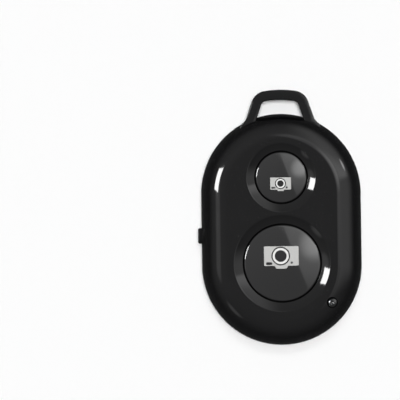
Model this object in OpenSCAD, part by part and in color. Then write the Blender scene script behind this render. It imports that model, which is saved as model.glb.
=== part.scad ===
// Bluetooth camera shutter remote: a pebble-shaped fob with two round buttons, a lanyard
// loop, a sliding power switch on its edge and a battery door that slides off its lower end.
// Millimetres. It lies on its back: +Z out of the front face, +Y towards the loop, and the
// origin is on the back plane at the middle of the overall length.

/* [Body] */
// Width of the pebble
body_w = 32; // [30:0.1:36]
// Length of the pebble, without the loop
body_l = 46.3; // [44:0.1:54]
// Thickness from the back face to the front face
body_h = 11; // [10.6:0.1:13]
// Wall thickness of both shells, and of the door
wall = 1.2; // [1:0.05:1.4]
// Thickness of the flat front plate
front_plate = 1.5; // [1.3:0.05:1.8]
// Radius of the rounded front shoulder
shoulder_r = 5.2; // [4.4:0.1:5.6]
// Radius of the rounded back edge
back_r = 3; // [2.4:0.1:3.3]

/* [Lanyard loop] */
// How far the loop stands out beyond the pebble
loop_reach = 4.8; // [4:0.1:7]
// Outer width of the loop, half way up its hole
loop_w = 12; // [10:0.1:16]
// Width of the band that makes the loop
band_w = 1.9; // [1.5:0.05:2.4]
// Thickness of the band, from back to front
band_h = 2.8; // [2:0.1:3.4]
// Lean of the loop's sides, in degrees
loop_lean = 19; // [10:1:26]
// Radius of the loop's outer corners
loop_corner_r = 3.2; // [2.6:0.1:3.8]
// Radius of the webs that blend the loop into the pebble
loop_fillet_r = 2.5; // [1.5:0.1:3.5]

/* [Buttons] */
// Distance between the two button centres
button_pitch = 17.1; // [16.6:0.1:19]
// Height of the point half way between the buttons above the pebble's centre
buttons_mid_y = 1.85; // [1:0.05:2.6]
// Radius of the bore for the small button
small_bore_r = 5.35; // [4.6:0.05:5.6]
// Radius of the bore for the large button
large_bore_r = 7.9; // [7:0.05:8.1]
// Width of the dished ring round the small button
small_dish_w = 1.65; // [1.2:0.05:1.8]
// Width of the dished ring round the large button
large_dish_w = 1.85; // [1.2:0.05:2]
// Depth of the dished rings
dish_d = 0.7; // [0.5:0.05:0.75]
// Gap between a button and its bore
button_gap = 0.25; // [0.1:0.05:0.3]
// Height of the small button's crown
small_crown = 0.4; // [0.2:0.05:0.5]
// Height of the large button's crown
large_crown = 0.5; // [0.2:0.05:0.6]
// Travel of a pressed button
button_travel = 0.3; // [0.2:0.05:0.35]

/* [Status light] */
// Radius of the clear light pipe
light_r = 0.85; // [0.7:0.05:1]
// Radius of the recess round the light
light_recess_r = 1.1; // [1.05:0.05:1.3]
// Distance of the light from the pebble's outer edge
light_inset = 3.6; // [3:0.1:4.2]
// Angle of the light below the horizontal, seen from the lower end's centre
light_angle = 37.5; // [30:0.5:45]

/* [Power switch] */
// Length of the knob along the edge
knob_l = 3.1; // [2.6:0.1:4]
// Height of the knob
knob_h = 1.7; // [1.4:0.05:1.8]
// How far the knob stands out of the edge
knob_reach = 0.7; // [0.4:0.05:1.2]
// Travel of the knob from on to off
knob_travel = 1.5; // [1:0.1:2]
// Height of the knob, in its upper position, above the pebble's centre
knob_y = -1.1; // [-1.6:0.1:0]

/* [Battery and its door] */
// Diameter of the coin cell
cell_d = 20; // [18:0.1:20.4]
// Thickness of the coin cell
cell_h = 3.2; // [2.5:0.1:3.4]
// Distance of the coin cell from the pebble's lower end
cell_inset = 3.25; // [3.1:0.05:4]
// Width of the battery door
door_w = 25.9; // [25:0.1:26.4]
// Gap between the door and the back shell
door_gap = 0.15; // [0.1:0.05:0.25]
// Width of the flange that holds the door in the back shell
door_flange_w = 0.8; // [0.6:0.05:0.9]

/* [Circuit board] */
// Thickness of the circuit board
board_t = 0.8; // [0.6:0.1:1]
// Side of a push switch
tact_w = 4.5; // [4:0.1:5]
// Height of a push switch without its plunger
tact_h = 1.35; // [1.25:0.05:1.45]
// How far the plunger stands out of a push switch
plunger_rise = 0.45; // [0.4:0.05:0.5]
// Length of the slide switch
slide_l = 6.7; // [6.2:0.1:7.4]
// Depth of the slide switch from the edge inwards
slide_w = 2.7; // [2.4:0.1:3]
// Height of the slide switch
slide_h = 1.4; // [1.3:0.05:1.6]

/* [Hidden] */
$fn = 96;

// Overrun of every cut, and the small gap between pieces that are laid side by side
cut = 0.5;
gap = 0.1;

// Pebble
body_r = body_w / 2;
end_y = body_l / 2 - body_r;
inner_r = body_r - wall;
shoulder_c = body_r - shoulder_r;
plate_z = body_h - front_plate;

// Stack from the back plane up
cell_z = wall + gap;
cell_top = cell_z + cell_h;
web_z = cell_top + gap;
web_t = 0.6;
web_step = 0.4;
parting_z = web_z + web_step;
board_z = web_z + web_t;
board_top = board_z + board_t;

// Lip of the back shell that stands inside the front shell
lip_gap = 0.15;
lip_t = 0.7;
lip_h = 0.8;
lip_r = inner_r - lip_gap;
bead_r = 0.3;
bead_l = 3;
bead_y = 5.5;

// Pins of the back shell, which pass the board and enter posts of the front shell
post_inset = 5.1;
post_angle = 26;
pin_r = 0.65;
pin_gap = 0.1;
pin_rise = 1;
post_r = 1.4;

// Loop
loop_step = 0.4;
loop_z = parting_z + loop_step;
band_round = 0.6;
corner_swell = 0.01;
corner_bite = 0.1;
web_bite = 0.25;
loop_r = body_r + loop_reach;
hole_mid = body_r + (loop_reach - band_w) / 2;
side_out = loop_w / 2 * cos(loop_lean) + hole_mid * sin(loop_lean);
side_mid = side_out - band_w / 2;
corner_rise = sqrt(pow(loop_r - loop_corner_r, 2) - pow(side_out - loop_corner_r, 2));
corner_turn = atan2(corner_rise, side_out - loop_corner_r);
foot_r = inner_r + gap;
foot_rise = sqrt(foot_r * foot_r - side_out * side_out);
web_rise = sqrt(pow(body_r + loop_fillet_r, 2) - pow(side_out + loop_fillet_r, 2));

// Buttons
small_y = buttons_mid_y + button_pitch / 2;
large_y = buttons_mid_y - button_pitch / 2;
dish_bow = 0.05;
cap_round = 0.3;
cap_bite = 0.1;
cap_t = 1;
skirt_t = 0.8;
flange_w = 0.6;
flange_t = 0.6;
flange_gap = 0.05;
flange_z = plate_z - flange_gap - flange_t;
guide_gap = 0.2;
guide_t = 0.65;
guide_spare = 0.15;
guide_drop = flange_gap + flange_t + button_travel + guide_spare;
key_w = 1.4;
key_l = 0.5;
button_post_r = 1.3;
plunger_top = board_top + tact_h + plunger_rise;

// Status light
light_reach = body_r - light_inset;
light_x = light_reach * cos(light_angle);
light_y = -end_y - light_reach * sin(light_angle);
light_skin = body_h - shoulder_r + sqrt(pow(shoulder_r, 2) - pow(light_reach - shoulder_c, 2));
light_recess_d = 0.5;
light_gap = 0.05;
light_dome = 0.25;
light_drop = 0.3;
light_boss_t = 0.7;
light_boss_r = light_r + light_gap + light_boss_t;
light_boss_skin = body_h - shoulder_r
    + sqrt(pow(shoulder_r, 2) - pow(light_reach + light_boss_r - shoulder_c, 2));
light_boss_top = min(plate_z + gap / 2, light_boss_skin - gap / 2);
light_boss_rise = 1.4;
light_boss_z = board_top + light_boss_rise;
led_l = 1.6;
led_w = 0.8;
led_h = 0.6;

// Power switch
slide_gap = 0.2;
board_gap = 0.25;
board_r = lip_r - lip_t - board_gap;
slide_x = -board_r + slide_gap;
slide_y = knob_y - knob_travel / 2;
lever_l = 1.4;
lever_h = 0.5;
lever_z = board_top + slide_h / 2 - lever_h / 2 + gap;
lever_reach = 1.2;
slider_l = 3;
slider_h = 0.55;
cover_t = 0.15;
slide_base_h = 0.2;
wiper_t = 0.1;
wiper_l = 2.4;
wiper_w = 0.65;
wiper_x = 1.6;
terminal_w = 0.5;
terminal_t = 0.15;
terminal_l = 0.8;
knob_z = lever_z + lever_h / 2 - knob_h / 2;
knob_slot_gap = 0.1;
knob_slot_l = knob_l + knob_travel + 2 * knob_slot_gap;
wing_t = 0.4;
wing_over = 0.4;
wing_l = knob_slot_l + knob_travel + 2 * wing_over;
wing_x = board_r + gap;
pocket_gap = 0.1;
knob_round = 0.3;

// Battery door and the bay
cell_r = cell_d / 2;
cell_y = -body_l / 2 + cell_inset + cell_r;
door_r = door_w / 2;
flange_step = 0.65;
flange_play = 0.05;
bay_gap = 0.2;
bay_t = 0.9;
bay_r = cell_r + bay_gap;
bay_notch_w = 6;
bay_notch_angle = -40;

// Coin cell
can_t = 0.25;
cap_rise = 0.25;
can_h = cell_h - cap_rise;
can_round = 0.5;
mouth_inset = 0.75;
gasket_inset = 1.15;
cap_foot = 0.35;

// Battery contacts
strip_t = 0.15;
strip_w = 3;
strip_l = 6;
strip_foot = 1.7;
strip_pad_x = 0.9;
strip_pad_l = 0.8;
strip_tip_rise = 0.25;
clip_t = 0.2;
clip_w = 4;
clip_foot = 3;
clip_leg = 1.75;
clip_touch = 0.02;
clip_bend_rise = 1;
clip_tip_drop = 0.9;
clip_tip_back = 0.9;
window_gap = 0.4;

// Board components
board_half = [board_r, end_y + board_r];
chip_w = 5;
chip_h = 0.85;
chip_place_share = [0.48, 0.105];
crystal_l = 3.2;
crystal_w = 2.5;
crystal_h = 0.75;
crystal_round = 0.4;
crystal_place_share = [-0.41, 0.165];
passive_l = 1;
passive_w = 0.5;
passive_h = 0.45;
capacitor_place_shares = [
    [-0.55, 0.3], [-0.25, 0.3], [0.5, 0.3], [0.72, 0.3],
    [0.78, 0.1], [0.48, -0.07], [0.25, 0.7], [-0.25, 0.7]
];
resistor_place_shares = [[0.7, -0.07], [-0.62, -0.4], [0.35, -0.77], [-0.35, -0.77]];
trace_t = 0.05;
trace_w = 0.5;
trace_pitch = 1.7;
trace_bars = 6;
trace_l = 3.2;
trace_inset = 1.4;

// Push switches
tact_well_r = 1.65;
tact_floor = 0.45;
dome_t = 0.07;
dome_flat = 0.06;
dome_rise = button_travel + dome_flat;
dome_r = 1.5;
plunger_r = 1;
plunger_foot_r = 1.45;
plunger_gap = 0.02;
plunger_foot_t = tact_h - cover_t - tact_floor - dome_rise - 2 * plunger_gap;

// Moves a piece from the pebble's centre to the frame's origin
module place() {
    translate([0, -loop_reach / 2, 0]) children();
}

// Quarter disc in the first quadrant
module quarter(r) {
    intersection() {
        circle(r);
        square(r);
    }
}

// Half disc above the first axis
module half_disc(r) {
    quarter(r);
    mirror([1, 0]) quarter(r);
}

// Stadium outline of the pebble at a given end radius
module stadium(r) {
    for (side = [0, 1])
        mirror([0, side]) translate([0, end_y]) half_disc(r);
    square([2 * r, 2 * end_y], center = true);
}

// Half section of the pebble, drawn in by an inset all round
module pebble_section(inset) {
    reach = body_r - inset;
    top_r = shoulder_r - inset;
    low_r = back_r - inset;
    translate([reach - top_r, body_h - inset - top_r]) quarter(top_r);
    translate([0, body_h - inset - top_r]) square([reach - top_r, top_r]);
    translate([0, inset + low_r]) square([reach, body_h - 2 * inset - top_r - low_r]);
    translate([reach - low_r, inset + low_r]) mirror([0, 1]) quarter(low_r);
    translate([0, inset]) square([reach - low_r, low_r]);
}

// Solid swept from a half section: a half turn round each end and a straight run between
module pebble_sweep() {
    for (side = [0, 1])
        mirror([0, side, 0]) translate([0, end_y, 0]) rotate_extrude(angle = 180) children();
    translate([0, end_y, 0]) rotate([90, 0, 0]) linear_extrude(2 * end_y) {
        children();
        mirror([1, 0]) children();
    }
}

// Half section of a wall of the front shell or of the back shell
module front_section() {
    difference() {
        pebble_section(0);
        intersection() {
            pebble_section(wall);
            square([body_r, plate_z]);
        }
        square([body_r, parting_z]);
    }
}

module back_section() {
    difference() {
        pebble_section(0);
        pebble_section(wall);
        translate([0, parting_z]) square([body_r, body_h]);
    }
}

// Block that reaches over a range along each axis
module block(from, to) {
    translate(from) cube(to - from);
}

// Outline of a bent strip: the points of its middle line thickened by t, with mitred bends
function unit(v) = v / norm(v);
function run_at(points, i) = unit(points[i + 1] - points[i]);
function bend_normal(points, i) =
    let(
        after = run_at(points, min(i, len(points) - 2)),
        mid = unit(run_at(points, max(i - 1, 0)) + after)
    )
    [-mid[1], mid[0]] / (mid * after);
function strip(points, t) = [
    for (i = [0 : len(points) - 1]) points[i] + bend_normal(points, i) * t / 2,
    for (i = [len(points) - 1 : -1 : 0]) points[i] - bend_normal(points, i) * t / 2
];

// Places of the pins and posts: two beside the small button and one by the lower end
module at_posts() {
    reach = body_r - post_inset;
    for (sides = [[1, 1], [-1, 1], [-1, -1]])
        translate([
            sides[0] * reach * cos(post_angle),
            sides[1] * (end_y + reach * sin(post_angle)),
            0
        ])
        children();
}

// Places of the four snap beads on the straight sides
module at_beads() {
    for (x = [-1, 1], y = [-1, 1])
        translate([x * lip_r, y * bead_y, parting_z + (web_t - web_step + lip_h) / 2])
        rotate([90, 0, 0])
        children();
}

// Rounded section of the loop's band, centred on the vertical axis and grown by a margin
module band_section(margin) {
    r = band_round + margin;
    across = band_w / 2 - band_round;
    low = loop_z + band_round;
    high = loop_z + band_h - band_round;
    translate([-across - r, low]) square([2 * (across + r), high - low]);
    for (side = [0, 1])
        mirror([side, 0]) {
            translate([across, high]) quarter(r);
            translate([across, low]) mirror([0, 1]) quarter(r);
        }
    for (z = [low - r, high])
        translate([-across, z]) square([2 * across, r]);
}

// One side of the loop: a straight leg, its corner and the web that blends it in. The leg
// and the top arc end inside the corner, which is a hair fuller than they are.
module loop_side() {
    corner_mid_r = loop_corner_r - band_w / 2;
    web_centre = [side_out + loop_fillet_r, web_rise];
    rotate([0, 0, loop_lean]) {
        difference() {
            translate([side_mid, corner_rise + corner_bite, 0]) rotate([90, 0, 0])
                linear_extrude(corner_rise + corner_bite - foot_rise) band_section(0);
            cylinder(h = body_h, r = foot_r);
        }
        translate([side_out - loop_corner_r, corner_rise, 0])
            rotate_extrude(angle = corner_turn) translate([corner_mid_r, 0])
            band_section(corner_swell);
        translate([0, 0, loop_z + band_round]) linear_extrude(band_h - 2 * band_round)
            difference() {
                polygon([
                    [side_out - web_bite, web_rise],
                    web_centre,
                    web_centre * body_r / (body_r + loop_fillet_r),
                    unit(web_centre) * foot_r,
                    [side_mid, sqrt(foot_r * foot_r - side_mid * side_mid)]
                ]);
                translate(web_centre) circle(loop_fillet_r);
            }
    }
}

module loop() {
    top_turn = 90 - loop_lean - corner_turn + atan(corner_bite / loop_r);
    translate([0, end_y, 0]) {
        for (side = [0, 1])
            mirror([side, 0, 0]) loop_side();
        rotate([0, 0, 90 - top_turn]) rotate_extrude(angle = 2 * top_turn)
            translate([loop_r - band_w / 2, 0]) band_section(0);
    }
}

// Dished ring and bore for one button, cut out of the front plate. The dish slopes down to the
// bore with a slight bow.
module button_cut(bore_r, dish_w) {
    chord = [dish_w, dish_d];
    arc_r = (norm(chord / 2) * norm(chord / 2) + dish_bow * dish_bow) / (2 * dish_bow);
    middle = [bore_r, -dish_d] + chord / 2;
    translate([0, 0, body_h]) rotate_extrude() {
        translate([0, -front_plate - cut]) square([bore_r, front_plate + cut]);
        intersection() {
            translate(middle + unit([-dish_d, dish_w]) * (arc_r - dish_bow))
                circle(arc_r, $fn = 8 * $fn);
            translate([bore_r, -dish_d]) square([dish_w, dish_d]);
        }
        square([bore_r + dish_w, cut]);
    }
}

// Ring under the front plate that guides a button's flange, with a slot for its key
module button_guide(bore_r) {
    inner = bore_r + flange_w + guide_gap;
    translate([0, 0, plate_z - guide_drop]) difference() {
        cylinder(h = guide_drop + gap, r = inner + guide_t);
        translate([0, 0, -cut]) cylinder(h = guide_drop + cut, r = inner);
        block([-inner - guide_t - cut, -key_w / 2 - guide_gap, -cut],
              [0, key_w / 2 + guide_gap, guide_drop]);
    }
}

module front_shell() {
    place() color("#1d1d1f") difference() {
        union() {
            pebble_sweep() front_section();
            loop();
            translate([0, small_y, 0]) button_guide(small_bore_r);
            translate([0, large_y, 0]) button_guide(large_bore_r);
            at_posts() translate([0, 0, board_top])
                cylinder(h = plate_z + gap - board_top, r = post_r);
            translate([light_x, light_y, light_boss_z])
                cylinder(h = light_boss_top - light_boss_z, r = light_boss_r);
        }
        translate([0, small_y, 0]) button_cut(small_bore_r, small_dish_w);
        translate([0, large_y, 0]) button_cut(large_bore_r, large_dish_w);
        at_posts() translate([0, 0, board_top - cut])
            cylinder(h = cut + pin_rise + pin_gap, r = pin_r + pin_gap);
        translate([light_x, light_y, light_boss_z - cut])
            cylinder(h = body_h, r = light_r + light_gap);
        translate([light_x, light_y, light_skin - light_recess_d])
            cylinder(h = body_h, r = light_recess_r);
        at_beads() cylinder(h = bead_l + 2 * gap, r = bead_r + gap, center = true);
        block([-body_r - cut, slide_y - knob_slot_l / 2, knob_z - knob_slot_gap],
              [-wing_x, slide_y + knob_slot_l / 2, knob_z + knob_h + knob_slot_gap]);
    }
}

// Outline of the battery door, grown by a margin: a round head over straight sides
module door_outline(margin) {
    r = door_r + margin;
    translate([0, cell_y]) {
        half_disc(r);
        translate([-r, -body_l / 2]) square([2 * r, body_l / 2]);
    }
}

module back_shell() {
    place() color("#18181a") {
        difference() {
            pebble_sweep() back_section();
            translate([0, 0, -cut]) linear_extrude(parting_z + 2 * cut) door_outline(0);
            translate([0, 0, flange_step]) linear_extrude(wall + flange_play - flange_step)
                door_outline(door_flange_w);
        }
        // Shelf that joins the wall to the web, outside the door
        translate([0, 0, web_z]) linear_extrude(web_step) difference() {
            stadium(inner_r + wall / 2);
            stadium(lip_r - lip_gap);
            door_outline(0);
        }
        // Web over the battery, with windows for the two contacts
        difference() {
            translate([0, 0, web_z]) linear_extrude(web_t + lip_h) stadium(lip_r);
            translate([0, 0, board_z]) linear_extrude(lip_h + cut) stadium(lip_r - lip_t);
            block([-strip_l / 2 - window_gap, cell_y - strip_w / 2 - window_gap, web_z - cut],
                  [strip_l / 2 + window_gap, cell_y + strip_w / 2 + window_gap, board_z + cut]);
            block([-clip_w / 2 - window_gap, cell_y + cell_r + clip_touch, web_z - cut],
                  [clip_w / 2 + window_gap,
                   cell_y + cell_r + clip_leg + clip_foot + window_gap, board_z + cut]);
            // Notch in the lip for the knob and its wings
            block([-lip_r - cut, slide_y - (wing_l + knob_travel) / 2 - gap, knob_z - gap],
                  [cut - wing_x, slide_y + (wing_l + knob_travel) / 2 + gap, body_h]);
        }
        at_posts() translate([0, 0, board_z - web_t / 2])
            cylinder(h = web_t / 2 + board_t + pin_rise, r = pin_r);
        at_beads() cylinder(h = bead_l, r = bead_r, center = true);
        // Wall of the battery bay, open for the positive contact and for a finger nail, and
        // clear of the door's rounded inner corner
        intersection() {
            pebble_sweep() pebble_section(wall + bay_gap);
            translate([0, cell_y, 0]) difference() {
                cylinder(h = web_z + web_step / 2, r = bay_r + bay_t);
                translate([0, 0, -cut]) cylinder(h = body_h, r = bay_r);
                block([-clip_w / 2 - window_gap, 0, -cut],
                      [clip_w / 2 + window_gap, bay_r + bay_t + cut, body_h]);
                rotate([0, 0, bay_notch_angle])
                    block([0, -bay_notch_w / 2, -cut],
                          [bay_r + bay_t + cut, bay_notch_w / 2, cell_z + cell_h / 2]);
            }
        }
    }
}

module battery_door() {
    place() color("#161617") {
        intersection() {
            pebble_sweep() back_section();
            translate([0, 0, -cut]) linear_extrude(parting_z - gap + cut)
                door_outline(-door_gap);
        }
        intersection() {
            pebble_sweep() pebble_section(0);
            translate([0, 0, flange_step + flange_play])
                linear_extrude(wall - flange_step - flange_play) difference() {
                    door_outline(door_flange_w - door_gap);
                    door_outline(-door_gap - wall);
                }
        }
    }
}

// Half section of a crowned disc with a rounded edge, from a height up to the front face. The
// crown and the edge both bite into the cylinder below them.
module crowned_section(r, low, crown) {
    ball_r = (r * r + crown * crown) / (2 * crown);
    ball_z = body_h - ball_r;
    edge = [r - cap_round, ball_z + sqrt(pow(ball_r - cap_round, 2) - pow(r - cap_round, 2))];
    aim = unit(edge - [0, ball_z]) * 2 * cap_round;
    intersection() {
        translate([0, ball_z]) circle(ball_r, $fn = 8 * $fn);
        polygon([
            [0, edge[1] - cap_bite], edge - [0, cap_bite], edge, edge + aim, [0, body_h + cut]
        ]);
    }
    translate(edge) intersection() {
        circle(cap_round);
        polygon([
            [0, 0], [0, -cap_bite], [2 * cap_round, -cap_bite],
            [2 * cap_round, 2 * cap_round], aim
        ]);
    }
    translate([0, low]) square([r, edge[1] - low]);
}

// Button: a crowned cap on a skirt, a flange with a key, and a post onto its push switch
module button(bore_r, crown) {
    r = bore_r - button_gap;
    well_w = r - skirt_t - button_post_r;
    rotate_extrude() {
        difference() {
            crowned_section(r, flange_z, crown);
            translate([button_post_r, flange_z - cut])
                square([well_w, body_h - crown - cap_t - flange_z + cut]);
        }
        translate([r - skirt_t, flange_z]) square([bore_r + flange_w - r + skirt_t, flange_t]);
        translate([0, plunger_top]) square([button_post_r, flange_z - plunger_top + flange_t]);
    }
    block([-bore_r - flange_w - key_l, -key_w / 2, flange_z],
          [-r + skirt_t / 2, key_w / 2, flange_z + flange_t]);
}

module small_button() {
    place() color("#222224") translate([0, small_y, 0]) button(small_bore_r, small_crown);
}

module large_button() {
    place() color("#222224") translate([0, large_y, 0]) button(large_bore_r, large_crown);
}

// Knob: a rounded pad outside, two wings inside the wall and a pocket for the lever
module power_knob() {
    tip_x = -body_r - knob_reach;
    place() color("#141415") translate([0, knob_y, 0]) difference() {
        union() {
            block([tip_x + knob_round, -knob_l / 2, knob_z], [-wing_x, knob_l / 2, knob_z + knob_h]);
            translate([tip_x + knob_round, 0, knob_z]) linear_extrude(knob_h) {
                for (side = [-1, 1])
                    translate([0, side * (knob_l / 2 - knob_round)]) circle(knob_round);
                translate([-knob_round, knob_round - knob_l / 2])
                    square([knob_round, knob_l - 2 * knob_round]);
            }
            block([-wing_x - wing_t, -wing_l / 2, knob_z], [-wing_x, wing_l / 2, knob_z + knob_h]);
        }
        block([slide_x - lever_reach - pocket_gap, -lever_l / 2 - pocket_gap, lever_z - pocket_gap],
              [-wing_x + cut, lever_l / 2 + pocket_gap, lever_z + lever_h + pocket_gap]);
    }
}

module light_pipe() {
    tip_z = light_skin - light_dome;
    dome_ball_r = (light_r * light_r + light_dome * light_dome) / (2 * light_dome);
    place() color("#d8dde0") translate([light_x, light_y, 0]) rotate_extrude()
        intersection() {
            translate([0, board_top + led_h + light_drop])
                square([light_r, tip_z + light_dome - board_top - led_h - light_drop]);
            translate([0, tip_z + light_dome - dome_ball_r]) circle(dome_ball_r);
        }
}

module circuit_board() {
    place() color("#1f5a36") difference() {
        translate([0, 0, board_z]) linear_extrude(board_t) stadium(board_r);
        at_posts() translate([0, 0, board_z - cut])
            cylinder(h = board_t + 2 * cut, r = pin_r + pin_gap);
    }
}

// Printed antenna: bars side by side, joined in turn at the top and at the bottom
module antenna_trace() {
    top = end_y + board_r - trace_inset;
    first_x = -trace_pitch * (trace_bars - 1) / 2;
    place() color("#b8793a") translate([first_x, top - trace_l, board_top])
        linear_extrude(trace_t) {
            for (i = [0 : trace_bars - 1])
                translate([i * trace_pitch - trace_w / 2, 0]) square([trace_w, trace_l]);
            for (i = [0 : trace_bars - 2])
                translate([i * trace_pitch, i % 2 == 0 ? trace_l - trace_w : 0])
                    square([trace_pitch, trace_w]);
        }
}

// Places a component on the board at shares of its half width and half length
module on_board(share) {
    translate([share[0] * board_half[0], share[1] * board_half[1], board_top]) children();
}

module centred_block(x, y, z) {
    translate([-x / 2, -y / 2, 0]) cube([x, y, z]);
}

module bluetooth_chip() {
    place() color("#2a2b2e") on_board(chip_place_share) centred_block(chip_w, chip_w, chip_h);
}

module crystal() {
    across = crystal_w / 2 - crystal_round;
    along = crystal_l / 2 - crystal_round;
    place() color("#b9bcc0") on_board(crystal_place_share) linear_extrude(crystal_h) {
        for (x = [-along, along], y = [-across, across])
            translate([x, y]) circle(crystal_round);
        square([2 * along, crystal_w], center = true);
        square([crystal_l, 2 * across], center = true);
    }
}

module chip_capacitors() {
    place() color("#b09a78") for (share = capacitor_place_shares)
        on_board(share) centred_block(passive_l, passive_w, passive_h);
}

module chip_resistors() {
    place() color("#26282b") for (share = resistor_place_shares)
        on_board(share) centred_block(passive_l, passive_w, passive_h);
}

module led_package() {
    place() color("#e8e4d2") translate([light_x, light_y, board_top])
        centred_block(led_l, led_w, led_h);
}

// Push switch: moulded base with a well, snap dome, plunger, steel cover and four terminals
module tact_base() {
    difference() {
        centred_block(tact_w, tact_w, tact_h - cover_t);
        translate([0, 0, tact_floor]) cylinder(h = tact_h, r = tact_well_r);
    }
}

module tact_terminals() {
    for (x = [-1, 1], y = [-1, 1])
        translate([x * (tact_w / 2 + terminal_l / 2), y * (tact_w / 2 - terminal_w), 0])
            centred_block(terminal_l, terminal_w, terminal_t);
}

module tact_dome() {
    ball_r = (dome_r * dome_r + dome_rise * dome_rise) / (2 * dome_rise);
    translate([0, 0, tact_floor]) rotate_extrude() intersection() {
        translate([0, dome_rise - ball_r]) difference() {
            circle(ball_r);
            circle(ball_r - dome_t);
        }
        square([dome_r, dome_rise]);
    }
}

module tact_plunger() {
    foot_z = tact_floor + dome_rise + plunger_gap;
    translate([0, 0, foot_z]) {
        cylinder(h = plunger_foot_t, r = plunger_foot_r);
        cylinder(h = tact_h + plunger_rise - foot_z, r = plunger_r);
    }
}

module tact_cover() {
    translate([0, 0, tact_h - cover_t]) difference() {
        centred_block(tact_w, tact_w, cover_t);
        translate([0, 0, -cut]) cylinder(h = cover_t + 2 * cut, r = plunger_r + gap);
    }
}

module at_switch(y) {
    place() translate([0, y, board_top]) children();
}

module small_switch_base() { color("#202124") at_switch(small_y) tact_base(); }
module small_switch_terminals() { color("#c9c9c6") at_switch(small_y) tact_terminals(); }
module small_switch_dome() { color("#d0d2d4") at_switch(small_y) tact_dome(); }
module small_switch_plunger() { color("#101112") at_switch(small_y) tact_plunger(); }
module small_switch_cover() { color("#c4c6c8") at_switch(small_y) tact_cover(); }
module large_switch_base() { color("#202124") at_switch(large_y) tact_base(); }
module large_switch_terminals() { color("#c9c9c6") at_switch(large_y) tact_terminals(); }
module large_switch_dome() { color("#d0d2d4") at_switch(large_y) tact_dome(); }
module large_switch_plunger() { color("#101112") at_switch(large_y) tact_plunger(); }
module large_switch_cover() { color("#c4c6c8") at_switch(large_y) tact_cover(); }

// Slide switch, drawn from its outer face inwards and centred on its length
module at_slide() {
    place() translate([slide_x, slide_y, board_top]) children();
}

module slide_switch_base() {
    at_slide() color("#2a2a2c")
        block([cover_t, cover_t - slide_l / 2, 0], [slide_w, slide_l / 2 - cover_t, slide_base_h]);
}

module slide_switch_terminals() {
    at_slide() color("#c9c9c6") for (i = [-1 : 1])
        translate([slide_w, i * slide_l / 4, 0])
            block([0, -terminal_w / 2, 0], [terminal_l, terminal_w / 2, terminal_t]);
}

// Sprung wiper under the slider, with its middle raised off the base
module slide_switch_wiper() {
    low = slide_base_h + wiper_t / 2 + plunger_gap;
    high = lever_z - board_top - wiper_t / 2 - plunger_gap;
    points = [
        [-wiper_l / 2, high], [-wiper_l / 4, low], [0, high],
        [wiper_l / 4, low], [wiper_l / 2, high]
    ];
    at_slide() translate([wiper_x, knob_travel / 2, 0]) color("#c8a050")
        rotate([90, 0, 90]) linear_extrude(wiper_w, center = true)
        polygon(strip(points, wiper_t));
}

module slide_switch_lever() {
    at_slide() translate([0, knob_travel / 2, lever_z - board_top]) color("#e6e4de") {
        block([cover_t + gap, -slider_l / 2, 0], [slide_w - cover_t - gap, slider_l / 2, slider_h]);
        block([-lever_reach, -lever_l / 2, 0], [cover_t + gap, lever_l / 2, lever_h]);
    }
}

module slide_switch_cover() {
    slot_l = lever_l + knob_travel + 2 * gap;
    at_slide() color("#c4c6c8") difference() {
        block([0, -slide_l / 2, 0], [slide_w, slide_l / 2, slide_h]);
        block([cover_t, cover_t - slide_l / 2, -cut],
              [slide_w + cut, slide_l / 2 - cover_t, slide_h - cover_t]);
        block([-cut, -slot_l / 2, lever_z - board_top - gap],
              [slide_w / 2, slot_l / 2, lever_z - board_top + lever_h + gap]);
    }
}

// Coin cell: a crimped can, a gasket ring, a cap and the stack of electrodes inside
module at_cell() {
    place() translate([0, cell_y, cell_z]) rotate_extrude() children();
}

module battery_can() {
    color("#c3c5c7") at_cell() difference() {
        union() {
            translate([cell_r - can_round, can_round]) mirror([0, 1]) quarter(can_round);
            square([cell_r - can_round, can_round]);
            translate([0, can_round]) square([cell_r, can_h - can_round]);
        }
        translate([0, can_t]) square([cell_r - can_t, can_h - 2 * can_t]);
        translate([0, can_h - can_t - cut]) square([cell_r - mouth_inset, can_t + 2 * cut]);
    }
}

module battery_gasket() {
    color("#3a3d44") at_cell() {
        translate([cell_r - gasket_inset, can_t])
            square([gasket_inset - can_t, can_h - 2 * can_t]);
        translate([cell_r - gasket_inset, can_h - can_t])
            square([gasket_inset - mouth_inset, can_t]);
    }
}

module battery_cap() {
    color("#cfd0d1") at_cell() {
        translate([0, cell_h - can_t]) square([cell_r - gasket_inset, can_t]);
        translate([cell_r - gasket_inset - can_t, can_t + cap_foot])
            square([can_t, cell_h - can_t - cap_foot - can_t]);
    }
}

module battery_core() {
    color("#55575c") at_cell() translate([0, can_t])
        square([cell_r - gasket_inset - can_t, cell_h - 2 * can_t]);
}

// Positive contact: a foot under the board and a sprung leg against the cell's side
module positive_contact() {
    foot_z = board_z - clip_t / 2;
    touch_z = cell_z + cell_h / 2;
    points = [
        [clip_leg + clip_foot, foot_z],
        [clip_leg, foot_z],
        [clip_leg, touch_z + clip_bend_rise],
        [clip_touch + clip_t / 2, touch_z],
        [clip_tip_back, touch_z - clip_tip_drop]
    ];
    place() color("#c8a050") translate([0, cell_y + cell_r, 0])
        rotate([90, 0, 90]) linear_extrude(clip_w, center = true)
        polygon(strip(points, clip_t));
}

// Negative contact: a foot under the board and a sprung arm onto the middle of the cell
module negative_contact() {
    foot_z = board_z - strip_t / 2;
    pad_z = cell_top + strip_t / 2;
    points = [
        [-strip_l / 2, foot_z],
        [strip_foot - strip_l / 2, foot_z],
        [strip_pad_x, pad_z],
        [strip_pad_x + strip_pad_l, pad_z],
        [strip_l / 2, pad_z + strip_tip_rise]
    ];
    place() color("#c8a050") translate([0, cell_y, 0])
        rotate([90, 0, 0]) linear_extrude(strip_w, center = true)
        polygon(strip(points, strip_t));
}

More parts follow.
